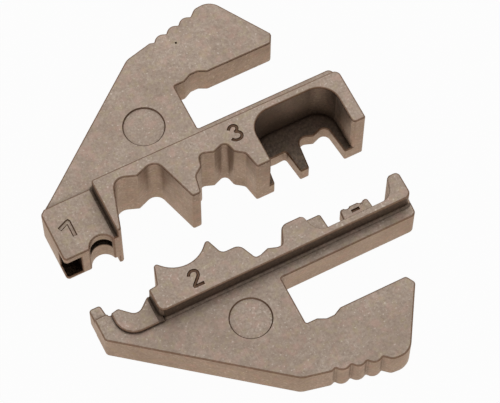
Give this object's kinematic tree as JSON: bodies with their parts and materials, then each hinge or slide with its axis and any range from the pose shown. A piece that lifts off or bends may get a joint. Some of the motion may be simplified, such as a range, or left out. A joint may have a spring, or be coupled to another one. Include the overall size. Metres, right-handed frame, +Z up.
{
  "type": "crimping die",
  "caption": "Pair of steel crimping dies: a nest die with profiled nests and a punch die with matching punches, each with a slotted wedge plate that clips into a hand tool's jaw.",
  "frame": {"origin": "centre of the open pair in plan, at the underside of the bars", "axes": "+X along the bars towards the open end of the slots, +Y from the punch die to the nest die (closing direction), +Z up through the thickness"},
  "size_m": [0.051, 0.0664, 0.012],
  "materials": {
    "die_steel": "cast, hardened and blasted steel, dull bronze grey"
  },
  "bodies": {
    "nest": {"nest_die": "die_steel"},
    "punch": {"punch_die": "die_steel"}
  },
  "joints": [
    {"name": "die_closing", "type": "slide", "parent": "nest", "child": "punch", "axis": [0, 1, 0], "range_m": [0, 0.01015]}
  ]
}
